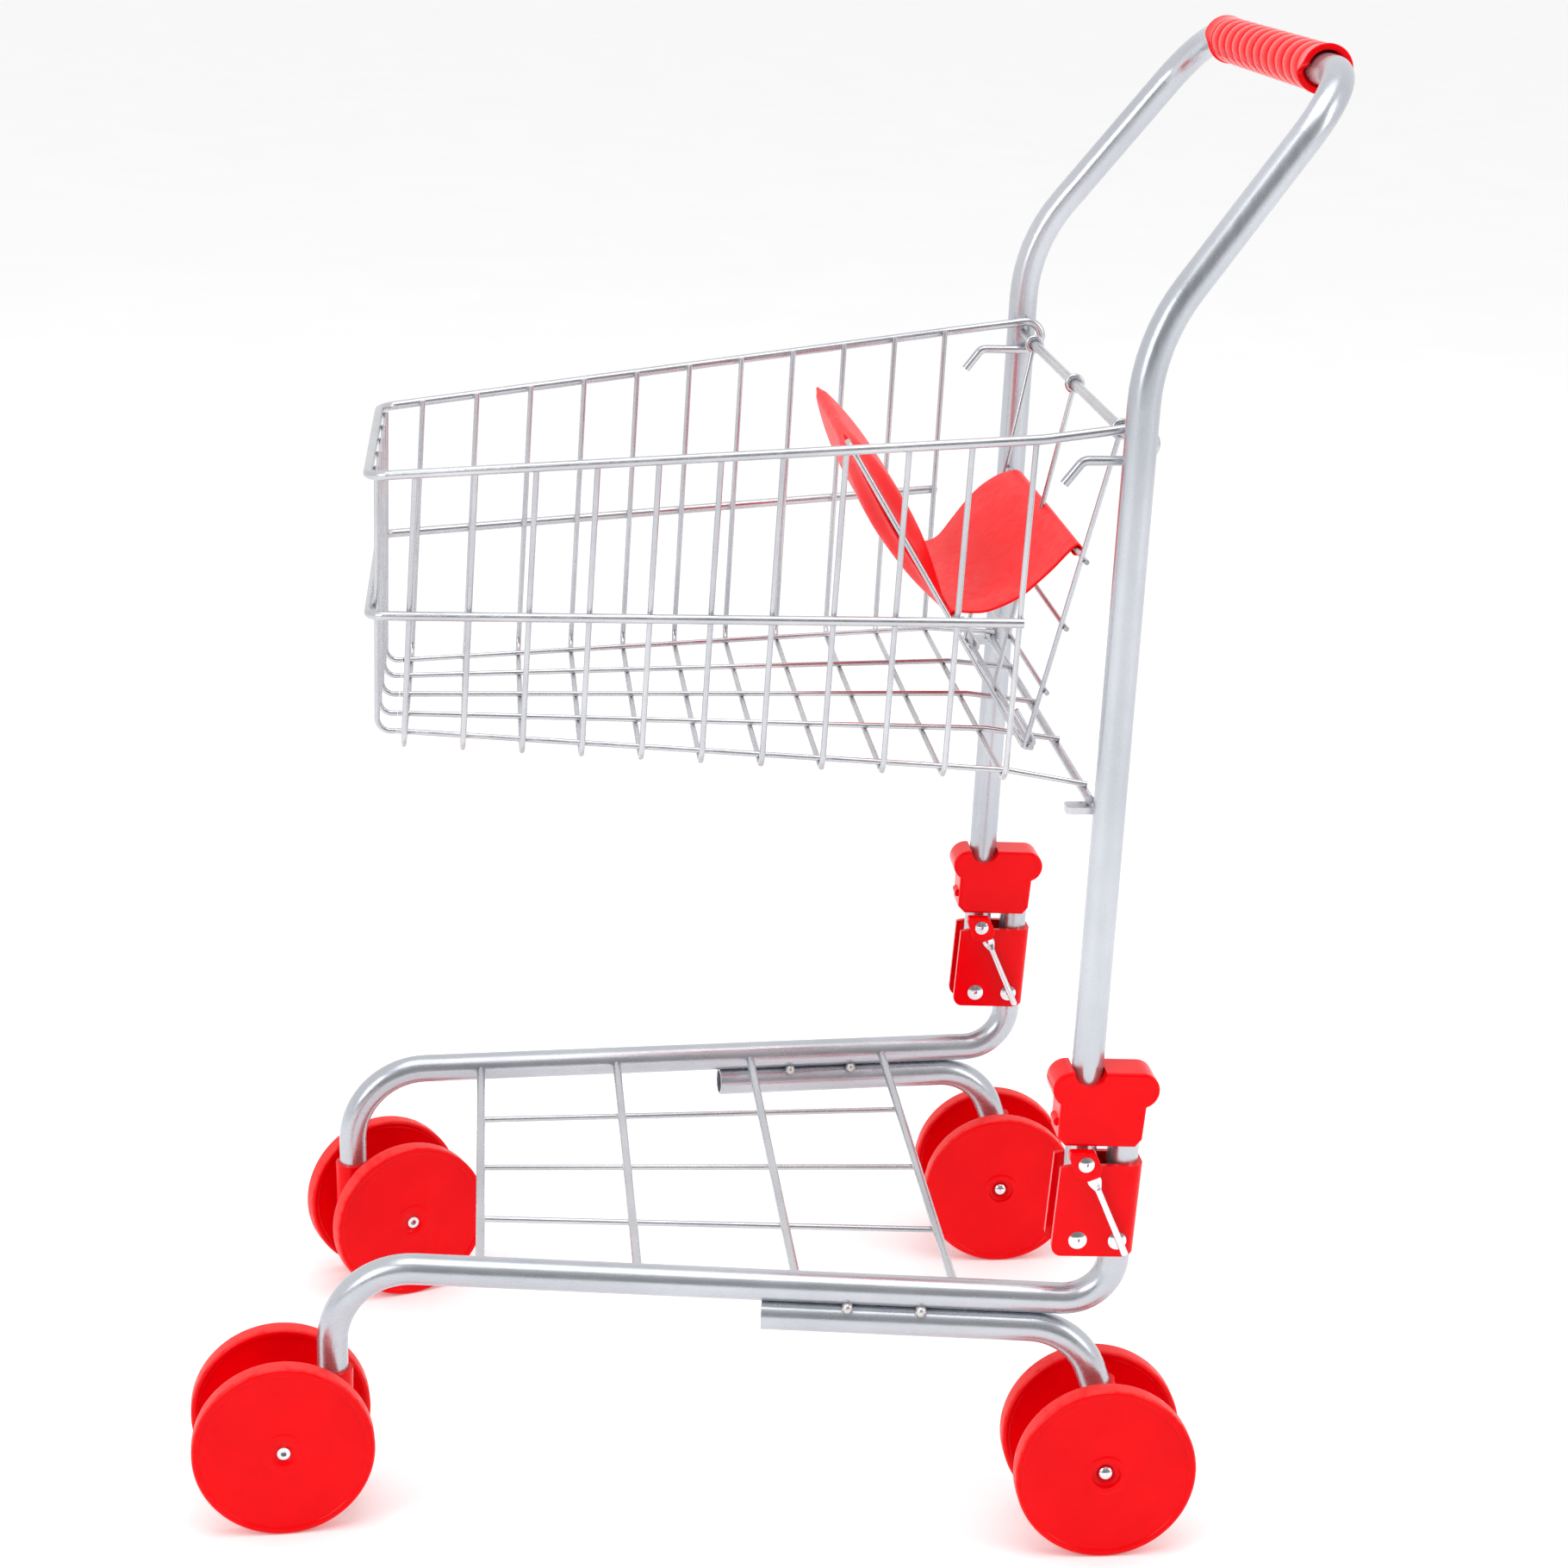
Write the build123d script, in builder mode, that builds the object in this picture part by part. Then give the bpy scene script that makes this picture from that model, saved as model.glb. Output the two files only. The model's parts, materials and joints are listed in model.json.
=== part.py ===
"""A child's folding shopping trolley: a bent-tube frame on four twin wheels, a wire basket and a doll seat.

Millimetres. +Z is up, the trolley's front points to -Y, and +X is the side with the outward levers.
The origin is under the middle of the trolley, on the ground.
"""

from build123d import *
from math import atan, cos, radians, sin, sqrt, tan
import os

SIDES = {"right": 1, "left": -1}

# Frame tubes
TUBE_R = 6.0
TUBE_BORE_R = 5.0
FIT = 0.03
RUNNING_FIT = 0.06
TOUCH_GAP = 0.05

# Lower frame: caster leg, rail and hinge stub of each side
LEG_X = 101.6
LEG_Y = -159.1
LEG_END_Z = 41.0
RAIL_Z = 102.6
RAIL_SLOPE = -0.01374
REAR_CORNER_Y = 138.0
FRONT_BEND = 32.0
STUB_BEND = 19.0
STUB_TOP = 44.5

# Rear wheel legs, welded under the rails
REAR_LEG_START_Y = 5.7
REAR_LEG_CORNER_Y = 125.9
REAR_LEG_DROP = 2 * TUBE_R + 2 * TOUCH_GAP
REAR_LEG_BEND = 26.0
REAR_LEG_END_Z = 50.0
REAR_LEG_SLOPE = 8.6 / 23.6
WELD_R = 2.3
WELD_OFFSET = 4.6
WELD_Y = (38.0, 66.0)

# Shelf of welded wires between the rails
SHELF_WIRE_R = 1.8
SHELF_RUNNER_R = 1.25
SHELF_FRONT_Y = -102.0
SHELF_PITCH = 60.7
SHELF_WIRES = 4

# Fold hinge: every hinge piece is drawn in a side view that leans with the tubes
UPRIGHT_X = 136.0
RAIL_SPREAD = (UPRIGHT_X - LEG_X) / (REAR_CORNER_Y - LEG_Y)
LEAN = 0.0319
PIVOT_Y = 122.9
PIVOT_Z = 127.5
TUBE_PITCH = 16.06
BRACKET_HALF = 8.5
BRACKET_BOTTOM = -6.5
BRACKET_TOP = 30.4
BRACKET_FRONT = -8.6
BRACKET_REAR = TUBE_PITCH + TUBE_R + 1.2
PIVOT_RIVET_R = 2.5
RIVET_HEAD_R = 3.5
RIVET_HEAD_H = 0.9

# Lock sleeve that slides on the upright and holds the stub
SLEEVE_HALF = 8.5
SLEEVE_BOTTOM = 38.0
SLEEVE_FRONT = -10.6
SLEEVE_REAR = 22.4
EAR_R = 7.0
EAR_HEIGHT = 60.4
EAR_FRONT = -6.8
EAR_REAR = 19.6
POCKET_CEILING = 47.0
POCKET_HALF = 6.3

# Cam lever under the sleeve
LEVER_HEIGHT = 32.7
LEVER_RIVET_R = 1.5
LOBE_INSIDE = 8.8
LOBE_OUTSIDE = 13.4
LEVER_ROD_R = 1.45
LEVER_ROD_OFFSET = 11.25
LEVER_ROD_START = (1.9, -2.9)
LEVER_ROD_TIP = (18.2, -37.8)

# Handle: the uprights and the push bar are one bent tube
UPRIGHT_END = -7.2
HANDLE_BEND_Y = 133.7
HANDLE_BEND_Z = 466.6
BAR_X = 120.0
BAR_Y = 204.0
BAR_Z = 557.5
HANDLE_BEND = 70.0
BAR_BEND = 30.0
GRIP_HALF = 85.0
GRIP_R = 9.0
GRIP_COLLAR_R = 9.6
GRIP_COLLAR = 11.0
GRIP_RIBS = 12

# Cross bar that carries the basket and the gate
CROSS_Y = 132.5
CROSS_Z = 429.0
CROSS_R = 1.9
CROSS_END_X = 133.5

# Wire basket
ROD_R = 1.8
WIRE_R = 1.1
RIM_FRONT_X = 73.0
RIM_FRONT_Y = -142.0
RIM_FRONT_Z = 404.9
RIM_REAR_X = 127.0
RIM_REAR_Y = 99.5
RIM_RISE = 0.104
HAIRPIN_HALF = 6.5
HAIRPIN_Y = 139.8
HOOP_COUNT = 11
HOOP_FRONT_Y = -129.9
HOOP_PITCH = 22.2
HOOP_LEAN = 5.5
HOOP_BEND = 6.0
FLOOR_Z = 300.7
FLOOR_FRONT_X = 68.5
FLOOR_SPREAD = 0.2112
RAIL_ROD_Z = 352.2
RAIL_ROD_RISE = 0.0413
RAIL_ROD_END_Y = 95.9
WELD_BITE = 0.2
REAR_BAR_R = 1.75
REAR_BAR_X = 129.3
REAR_BAR_Y = 122.0
REAR_BAR_Z = 296.6
STRINGER_FRONT_X = (-54.6, -29.0, 0.0, 29.0, 54.6)
STRINGER_REAR_X = (-118.0, -56.0, 0.0, 56.0, 118.0)
STRINGER_TOP_X = (-57.0, -28.0, 0.0, 28.0, 57.0)
FRONT_WIRE_FOOT_Y = -140.3

# Gate that hangs on the cross bar, and the folding doll seat
GATE_WIRE_R = 1.0
GATE_ROD_R = 1.2
GATE_TOP_X = 99.8
GATE_FOOT_X = 82.0
GATE_ROD_Y = 107.0
GATE_ROD_Z = 304.0
GATE_BARS_Z = (378.0, 351.7, 326.0)
SEAT_FOOT_X = 75.0
SEAT_TOP_X = 62.5
SEAT_TOP_Y = 39.0
SEAT_TOP_Z = 417.0
SEAT_BAR_HEIGHT = 53.5
SEAT_HOOK_LENGTH = 2.6
SEAT_HOOK_RETURN = 13.0
PANEL_HALF = 58.5
PANEL_WALL = 1.3
PANEL_ROOM = 0.5
PANEL_BELLY = 5.2
PANEL_FOOT = 2.4
PANEL_FOOT_GAP = 4.0
SEAT_FRONT_HALF = 61.0
SEAT_REAR_HALF = 73.0
SEAT_THICK = 2.4

# Twin wheels
WHEEL_R = 35.0
DISC_INNER = 12.85
DISC_OUTER = 21.35
AXLE_R = 2.5
HUB_HALF = 12.5
HUB_R = 9.5
CASTER_TRAIL = 20.0
CASTER_TURN = {"right": 184.9, "left": 22.0}
SOCKET_R = 7.8
SOCKET_TOP = 59.5
REAR_WHEEL_X = 135.3
REAR_WHEEL_Y = 136.4


def save(piece, name):
    piece.part.label = name
    export_step(piece.part, f"parts/{name}.step")


def bent_route(points, bends):
    """Straight runs between points, joined by tangent arcs of the given radii."""
    points = [Vector(point) for point in points]
    start = points[0]
    with BuildLine() as route:
        for before, corner, after, radius in zip(points, points[1:], points[2:], bends):
            inward = (before - corner).normalized()
            outward = (after - corner).normalized()
            half_angle = radians(inward.get_angle(outward)) / 2
            setback = radius / tan(half_angle)
            middle = corner + (inward + outward).normalized() * (radius / sin(half_angle) - radius)
            Line(start, corner + inward * setback)
            ThreePointArc(corner + inward * setback, middle, corner + outward * setback)
            start = corner + outward * setback
        Line(start, points[-1])
    return route.line


def add_bar(points, bends, radius, bore=0.0, mode=Mode.ADD):
    """Add or cut a round bar or tube along straight runs joined by tangent arcs."""
    route = bent_route(points, bends)
    with BuildSketch(Plane(origin=route @ 0, z_dir=route % 0)) as section:
        Circle(radius)
        if bore:
            Circle(bore, mode=Mode.SUBTRACT)
    sweep(sections=section.sketch, path=route, mode=mode)


def mirrored(points):
    """The same points on the other side, in reverse order."""
    return [(-x, y, z) for x, y, z in reversed(points)]


def side_view(side, offset=0.0):
    """A sketch plane at a fold hinge: x runs rearward and y runs up along the tubes."""
    origin = (side * UPRIGHT_X + offset, PIVOT_Y, PIVOT_Z)
    return Plane(origin=origin, x_dir=(0, 1, -LEAN), z_dir=(1, 0, 0))


def plan_view(side, height=0.0):
    """A sketch plane square to the tubes at a fold hinge: x runs along X and y runs rearward."""
    plane = Plane(origin=(side * UPRIGHT_X, PIVOT_Y, PIVOT_Z), x_dir=(1, 0, 0), z_dir=(0, LEAN, 1))
    return plane.offset(height)


def hinge_point(side, offset, back, up):
    """The point at offset along X, back along the side view's x and up along its y."""
    return side_view(side, offset).from_local_coords((back, up, 0))


def dome_middle(head_r, head_h):
    """Rise and radius halfway along a domed head's outline."""
    dome_r = (head_r**2 + head_h**2) / (2 * head_h)
    half_turn = atan(head_r / (dome_r - head_h)) / 2
    return head_h - dome_r * (1 - cos(half_turn)), dome_r * sin(half_turn)


def add_rivet(centre, start, end, shank_r, head_r, head_h, tail_r=None):
    """Add a rivet along X: a domed head at the end of its shank and a tail, maybe smaller, at the start."""
    tail_r = tail_r or head_r
    mid_rise, mid_r = dome_middle(head_r, head_h)
    tail_rise, tail_mid_r = dome_middle(tail_r, head_h)
    with BuildSketch(Plane(origin=centre, x_dir=(1, 0, 0), z_dir=(0, -1, 0))) as profile:
        with BuildLine():
            ThreePointArc((start - head_h, 0), (start - tail_rise, tail_mid_r), (start, tail_r))
            Polyline((start, tail_r), (start, shank_r), (end, shank_r), (end, head_r))
            ThreePointArc((end, head_r), (end + mid_rise, mid_r), (end + head_h, 0))
            Line((end + head_h, 0), (start - head_h, 0))
        make_face()
    revolve(profiles=profile.sketch, axis=Axis(centre, (1, 0, 0)))


# Lower frame


def rail_point(side, y, drop=0.0):
    """A point on a rail's centre line, or below it by drop."""
    x = LEG_X + RAIL_SPREAD * (y - LEG_Y)
    return (side * x, y, RAIL_Z + RAIL_SLOPE * (y - LEG_Y) - drop)


def make_lower_tube(name, side):
    stub_top = hinge_point(side, 0, TUBE_PITCH, STUB_TOP)
    corner = rail_point(side, REAR_CORNER_Y)
    route = [(side * LEG_X, LEG_Y, LEG_END_Z), rail_point(side, LEG_Y), corner, tuple(stub_top)]
    with BuildPart() as tube:
        add_bar(route, (FRONT_BEND, STUB_BEND), TUBE_R, TUBE_BORE_R)
        for index in range(SHELF_WIRES):
            x, y, z = rail_point(side, SHELF_FRONT_Y + index * SHELF_PITCH)
            add_bar([(x - side * 9, y, z), (x, y, z)], (), SHELF_WIRE_R + FIT, mode=Mode.SUBTRACT)
        hole = [tuple(hinge_point(side, end, TUBE_PITCH - 0.9, 0)) for end in (-9, 9)]
        add_bar(hole, (), PIVOT_RIVET_R + FIT, mode=Mode.SUBTRACT)
    save(tube, name)


def rear_leg_route(side):
    start = rail_point(side, REAR_LEG_START_Y, REAR_LEG_DROP)
    corner = rail_point(side, REAR_LEG_CORNER_Y, REAR_LEG_DROP)
    fall = corner[2] - REAR_LEG_END_Z
    end = (side * REAR_WHEEL_X, corner[1] + REAR_LEG_SLOPE * fall, REAR_LEG_END_Z)
    return [start, corner, end]


def make_rear_leg(name, side):
    with BuildPart() as leg:
        add_bar(rear_leg_route(side), (REAR_LEG_BEND,), TUBE_R, TUBE_BORE_R)
    save(leg, name)


def make_weld_beads(name):
    """Tack welds in the seam between each rail and its rear leg, inside and outside."""
    with BuildPart() as beads:
        for side in SIDES.values():
            for y in WELD_Y:
                x, _, z = rail_point(side, y, REAR_LEG_DROP / 2)
                with Locations((x - WELD_OFFSET, y, z), (x + WELD_OFFSET, y, z)):
                    Sphere(WELD_R)
            for drop in (0.0, REAR_LEG_DROP):
                run = [rail_point(side, WELD_Y[0] - 9, drop), rail_point(side, WELD_Y[1] + 9, drop)]
                add_bar(run, (), TUBE_R + FIT, mode=Mode.SUBTRACT)
    save(beads, name)


def make_shelf_grid(name):
    rear_y = SHELF_FRONT_Y + (SHELF_WIRES - 1) * SHELF_PITCH
    lift = SHELF_WIRE_R + SHELF_RUNNER_R - WELD_BITE
    with BuildPart() as grid:
        for index in range(SHELF_WIRES):
            x, y, z = rail_point(1, SHELF_FRONT_Y + index * SHELF_PITCH)
            add_bar([(-x + 3, y, z), (x - 3, y, z)], (), SHELF_WIRE_R)
        for spread in (-1, 0, 1):
            front = (spread * 52.0, SHELF_FRONT_Y - 1.5, rail_point(1, SHELF_FRONT_Y)[2] - lift)
            rear = (spread * 64.0, rear_y + 1.5, rail_point(1, rear_y)[2] - lift)
            add_bar([front, rear], (), SHELF_RUNNER_R)
    save(grid, name)


# Fold hinge units: both face +X, so the left one is a shifted copy of the right one


def make_bracket(name, side):
    front_top = sqrt(BRACKET_TOP**2 - BRACKET_FRONT**2)
    arc_middle = (BRACKET_FRONT / 2, sqrt(BRACKET_TOP**2 - (BRACKET_FRONT / 2) ** 2))
    with BuildPart() as bracket:
        with BuildSketch(side_view(side)):
            with BuildLine():
                ThreePointArc((BRACKET_FRONT, front_top), arc_middle, (0, BRACKET_TOP))
                corners = [(0, BRACKET_TOP), (BRACKET_REAR, BRACKET_TOP)]
                corners += [(BRACKET_REAR - 1.0, BRACKET_BOTTOM + 1)]
                corners += [(BRACKET_REAR - 6, BRACKET_BOTTOM), (BRACKET_FRONT - 1.4, BRACKET_BOTTOM)]
                Polyline(*corners, (BRACKET_FRONT, front_top))
            make_face()
        extrude(amount=BRACKET_HALF, both=True)
        upright_edges = bracket.edges().filter_by(lambda e: abs((e % 0.5).Z) > 0.95)
        rear_edges = upright_edges.sort_by(Axis.Y)[-2:]
        fillet(rear_edges, radius=5.5)
        low_front = bracket.edges().filter_by(Axis.X).sort_by(lambda e: (e @ 0.5).Y + (e @ 0.5).Z)[0]
        fillet(low_front, radius=4.0)
        with BuildSketch(plan_view(side, BRACKET_BOTTOM - 8)):
            with Locations((0, -20 + TUBE_PITCH / 2)):
                Rectangle(2 * (TUBE_R + 0.1), TUBE_PITCH + 40)
            with Locations((0, TUBE_PITCH)):
                Circle(TUBE_R + FIT)
        extrude(amount=60, mode=Mode.SUBTRACT)
        with BuildSketch(side_view(side)):
            with Locations((0, 0), (TUBE_PITCH - 0.9, 0)):
                Circle(PIVOT_RIVET_R + FIT)
        extrude(amount=20, both=True, mode=Mode.SUBTRACT)
    save(bracket, name)


def make_hinge_rivets(name, back):
    with BuildPart() as rivets:
        for side in SIDES.values():
            centre = hinge_point(side, 0, back, 0)
            reach = BRACKET_HALF + FIT
            add_rivet(tuple(centre), -reach, reach, PIVOT_RIVET_R, RIVET_HEAD_R, RIVET_HEAD_H)
    save(rivets, name)


def make_sleeve(name, side):
    top = EAR_HEIGHT + EAR_R
    with BuildPart() as sleeve:
        with BuildSketch(side_view(side)) as outline:
            with BuildLine():
                Polyline(
                    (SLEEVE_FRONT + 3, SLEEVE_BOTTOM), (SLEEVE_REAR - 3.4, SLEEVE_BOTTOM),
                    (SLEEVE_REAR - 1, SLEEVE_BOTTOM + 3), (SLEEVE_REAR, EAR_HEIGHT), (EAR_REAR, top),
                    (EAR_FRONT, top), (SLEEVE_FRONT, EAR_HEIGHT), (SLEEVE_FRONT, SLEEVE_BOTTOM + 3),
                    close=True,
                )
            make_face()
            with Locations((EAR_FRONT, EAR_HEIGHT), (EAR_REAR, EAR_HEIGHT)):
                Circle(EAR_R)
        extrude(amount=SLEEVE_HALF, both=True)
        outer_faces = sleeve.faces().filter_by(Axis.X)
        fillet(outer_faces.edges(), radius=1.2)
        with BuildSketch(side_view(side)):
            with Locations((SLEEVE_FRONT + 0.4, SLEEVE_BOTTOM + 8)):
                Circle(1.8)
        extrude(amount=3.5, both=True)
        with BuildSketch(side_view(side)):
            with Locations((0, top + 0.4)):
                Circle(TUBE_R + RUNNING_FIT)
        extrude(amount=20, both=True, mode=Mode.SUBTRACT)
        with BuildSketch(plan_view(side, SLEEVE_BOTTOM - 10)):
            Circle(TUBE_R + RUNNING_FIT)
        extrude(amount=60, mode=Mode.SUBTRACT)
        with BuildSketch(plan_view(side, SLEEVE_BOTTOM - 10)):
            with Locations((0, 9.9)):
                Rectangle(2 * POCKET_HALF, 30, align=(Align.CENTER, Align.MIN))
        extrude(amount=POCKET_CEILING - SLEEVE_BOTTOM + 10, mode=Mode.SUBTRACT)
    save(sleeve, name)


def lever_rod_route(side):
    ends = (LEVER_ROD_START, LEVER_ROD_TIP)
    return [tuple(hinge_point(side, LEVER_ROD_OFFSET, back, LEVER_HEIGHT + up)) for back, up in ends]


def make_cam_lobe(name, side):
    with BuildPart() as lobe:
        with BuildSketch(side_view(side, LOBE_INSIDE)):
            with Locations((0, LEVER_HEIGHT)):
                Polygon(
                    (-6.4, 4.6), (-6.2, 1.6), (-5.2, -1.2), (-3.8, -5.0), (1.2, -7.0), (5.6, -5.2),
                    (6.3, -1.5), (3.4, 4.6), align=None,
                )
        extrude(amount=LOBE_OUTSIDE - LOBE_INSIDE)
        fillet(lobe.edges().filter_by(Axis.X), radius=1.2)
        fillet(lobe.faces().sort_by(Axis.X)[-1].edges(), radius=0.8)
        with BuildSketch(side_view(side, TUBE_R + 0.12)):
            with Locations((0, LEVER_HEIGHT)):
                Circle(2.0)
        extrude(amount=LOBE_INSIDE - TUBE_R)
        with BuildSketch(side_view(side)):
            with Locations((0, LEVER_HEIGHT)):
                Circle(LEVER_RIVET_R + RUNNING_FIT)
        extrude(amount=30, mode=Mode.SUBTRACT)
        add_bar(lever_rod_route(side), (), LEVER_ROD_R + FIT, mode=Mode.SUBTRACT)
    save(lobe, name)


def make_lever_rod(name, side):
    with BuildPart() as rod:
        add_bar(lever_rod_route(side), (), LEVER_ROD_R)
        low_end = rod.faces().filter_by(GeomType.PLANE).sort_by(Axis.Z)[0]
        fillet(low_end.edges(), radius=1.0)
    save(rod, name)


def make_lever_rivets(name):
    with BuildPart() as rivets:
        for side in SIDES.values():
            centre = tuple(hinge_point(side, 0, 0, LEVER_HEIGHT))
            add_rivet(centre, -TUBE_R - FIT, LOBE_OUTSIDE + FIT, LEVER_RIVET_R, 3.0, 0.9, tail_r=2.1)
    save(rivets, name)


# Handle


def make_handle_tube(name):
    foot = tuple(hinge_point(1, 0, 0, UPRIGHT_END))
    half = [foot, (UPRIGHT_X, HANDLE_BEND_Y, HANDLE_BEND_Z), (BAR_X, BAR_Y, BAR_Z)]
    with BuildPart() as handle:
        add_bar(half + mirrored(half), (HANDLE_BEND, BAR_BEND, BAR_BEND, HANDLE_BEND), TUBE_R, TUBE_BORE_R)
        for side in SIDES.values():
            pivot = [tuple(hinge_point(side, end, 0, 0)) for end in (-9, 9)]
            add_bar(pivot, (), PIVOT_RIVET_R + RUNNING_FIT, mode=Mode.SUBTRACT)
            lever = [tuple(hinge_point(side, end, 0, LEVER_HEIGHT)) for end in (-9, 9)]
            add_bar(lever, (), LEVER_RIVET_R + FIT, mode=Mode.SUBTRACT)
        reach = UPRIGHT_X - 0.5
        cross = [(-reach, CROSS_Y, CROSS_Z), (reach, CROSS_Y, CROSS_Z)]
        add_bar(cross, (), CROSS_R + FIT, mode=Mode.SUBTRACT)
    save(handle, name)


def make_grip(name):
    """Moulded sleeve round the push bar: a plain collar at each end and ribs between."""
    ribbed = 2 * (GRIP_HALF - GRIP_COLLAR)
    pitch = ribbed / GRIP_RIBS
    with BuildPart() as grip:
        with BuildSketch(Plane.YZ.offset(-GRIP_HALF)):
            with Locations((BAR_Y, BAR_Z)):
                Circle(GRIP_R)
        extrude(amount=2 * GRIP_HALF)
        for collar in (-GRIP_HALF, GRIP_HALF - GRIP_COLLAR):
            with BuildSketch(Plane.YZ.offset(collar)):
                with Locations((BAR_Y, BAR_Z)):
                    Circle(GRIP_COLLAR_R)
            extrude(amount=GRIP_COLLAR)
        for index in range(1, GRIP_RIBS):
            groove_x = -GRIP_HALF + GRIP_COLLAR + index * pitch
            with BuildSketch(Plane.YZ.offset(groove_x - 1.2)):
                with Locations((BAR_Y, BAR_Z)):
                    Circle(GRIP_R + 2)
                    Circle(GRIP_R - 1.0, mode=Mode.SUBTRACT)
            extrude(amount=2.4, mode=Mode.SUBTRACT)
        with BuildSketch(Plane.YZ.offset(-GRIP_HALF - 1)):
            with Locations((BAR_Y, BAR_Z)):
                Circle(TUBE_R + FIT)
        extrude(amount=2 * GRIP_HALF + 2, mode=Mode.SUBTRACT)
    save(grip, name)


def make_cross_bar(name):
    with BuildPart() as bar:
        add_bar([(-CROSS_END_X, CROSS_Y, CROSS_Z), (CROSS_END_X, CROSS_Y, CROSS_Z)], (), CROSS_R)
    save(bar, name)


def upright_y(z):
    """The uprights' centre line at a height."""
    return PIVOT_Y + LEAN * (z - PIVOT_Z)


def make_clips(name):
    """Strips welded to the uprights, under the ends of the basket's rear bar."""
    with BuildPart() as clips:
        for side in SIDES.values():
            with Locations((side * 128.4, 119.6, REAR_BAR_Z - 3.3)):
                Box(8.4, 13.0, 2.6)
            fillet(clips.edges().filter_by(Axis.Z).group_by(Axis.Y)[0], radius=2.0)
            tube = [(side * UPRIGHT_X, upright_y(z), z) for z in (285.0, 305.0)]
            add_bar(tube, (), TUBE_R + FIT, mode=Mode.SUBTRACT)
    save(clips, name)


# Basket


def rim_x(y):
    return RIM_FRONT_X + (RIM_REAR_X - RIM_FRONT_X) * (y - RIM_FRONT_Y) / (RIM_REAR_Y - RIM_FRONT_Y)


def rim_z(y):
    return RIM_FRONT_Z + RIM_RISE * (y - RIM_FRONT_Y)


def floor_x(y):
    return FLOOR_FRONT_X + FLOOR_SPREAD * (y - RIM_FRONT_Y)


def rail_rod_z(y):
    return RAIL_ROD_Z + RAIL_ROD_RISE * (y - RIM_FRONT_Y)


def hoop_ends(index):
    """Foot and top of one hoop wire's right leg; the top rests inside the rim rod."""
    y = HOOP_FRONT_Y + index * HOOP_PITCH
    top_y = y + HOOP_LEAN
    inset = ROD_R + WIRE_R + 2 * TOUCH_GAP + 0.07
    return (floor_x(y), y, FLOOR_Z), (rim_x(top_y) - inset, top_y, rim_z(top_y) + 0.9)


def rail_rod_point(index):
    """Where the middle rod crosses a hoop wire, outside it with a weld's bite."""
    foot, top = hoop_ends(index)
    share = (rail_rod_z(foot[1]) - foot[2]) / (top[2] - foot[2])
    x, y, z = (a + share * (b - a) for a, b in zip(foot, top))
    return x + ROD_R + WIRE_R - WELD_BITE, y, z


def extended(start, end, y):
    """The point at y on the line through two points."""
    share = (y - start[1]) / (end[1] - start[1])
    return tuple(a + share * (b - a) for a, b in zip(start, end))


def make_rim(name):
    half = [
        (RIM_REAR_X - 0.3, 107.5, 413.9),
        (RIM_REAR_X, 114.1, CROSS_Z - HAIRPIN_HALF),
        (RIM_REAR_X, HAIRPIN_Y, CROSS_Z - HAIRPIN_HALF),
        (RIM_REAR_X, HAIRPIN_Y, CROSS_Z + HAIRPIN_HALF),
        (RIM_REAR_X, RIM_REAR_Y, rim_z(RIM_REAR_Y)),
        (RIM_FRONT_X, RIM_FRONT_Y, RIM_FRONT_Z),
    ]
    bends = [4.0, 6.4, 6.4, 20.0, 9.0]
    with BuildPart() as rim:
        add_bar(half + mirrored(half), bends + bends[::-1], ROD_R)
    save(rim, name)


def front_wire_ends(index):
    inset = ROD_R + WIRE_R + TOUCH_GAP
    top = (STRINGER_TOP_X[index], RIM_FRONT_Y + inset, RIM_FRONT_Z + 0.9)
    foot = (STRINGER_FRONT_X[index], FRONT_WIRE_FOOT_Y, FLOOR_Z + 2 * WIRE_R - 0.1)
    return top, foot


def front_rod_y():
    top, foot = front_wire_ends(2)
    share = (RAIL_ROD_Z - foot[2]) / (top[2] - foot[2])
    return foot[1] + share * (top[1] - foot[1]) - ROD_R - WIRE_R + WELD_BITE


def make_basket_side(name, side):
    """Eleven hoop legs and the middle rod of one side, welded into a panel."""
    first, last = rail_rod_point(0), rail_rod_point(HOOP_COUNT - 1)
    corner = extended(first, last, front_rod_y())
    end = extended(first, last, RAIL_ROD_END_Y)
    with BuildPart() as panel:
        for index in range(HOOP_COUNT):
            foot, top = hoop_ends(index)
            heel = (foot[0] - HOOP_BEND - 2, foot[1], foot[2])
            route = [(side * x, y, z) for x, y, z in (top, foot, heel)]
            add_bar(route, (HOOP_BEND,), WIRE_R)
        route = [end, corner, (corner[0] - 9, corner[1], corner[2])]
        add_bar([(side * x, y, z) for x, y, z in route], (7.0,), ROD_R)
    save(panel, name)


def make_basket_front(name):
    half = extended(rail_rod_point(0), rail_rod_point(HOOP_COUNT - 1), front_rod_y())
    reach = half[0] - 9 - TOUCH_GAP
    with BuildPart() as panel:
        for index in range(len(STRINGER_TOP_X)):
            top, foot = front_wire_ends(index)
            heel = (foot[0], foot[1] + 7, foot[2])
            add_bar([top, foot, heel], (5.0,), WIRE_R)
        add_bar([(-reach, half[1], half[2]), (reach, half[1], half[2])], (), ROD_R)
    save(panel, name)


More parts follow.
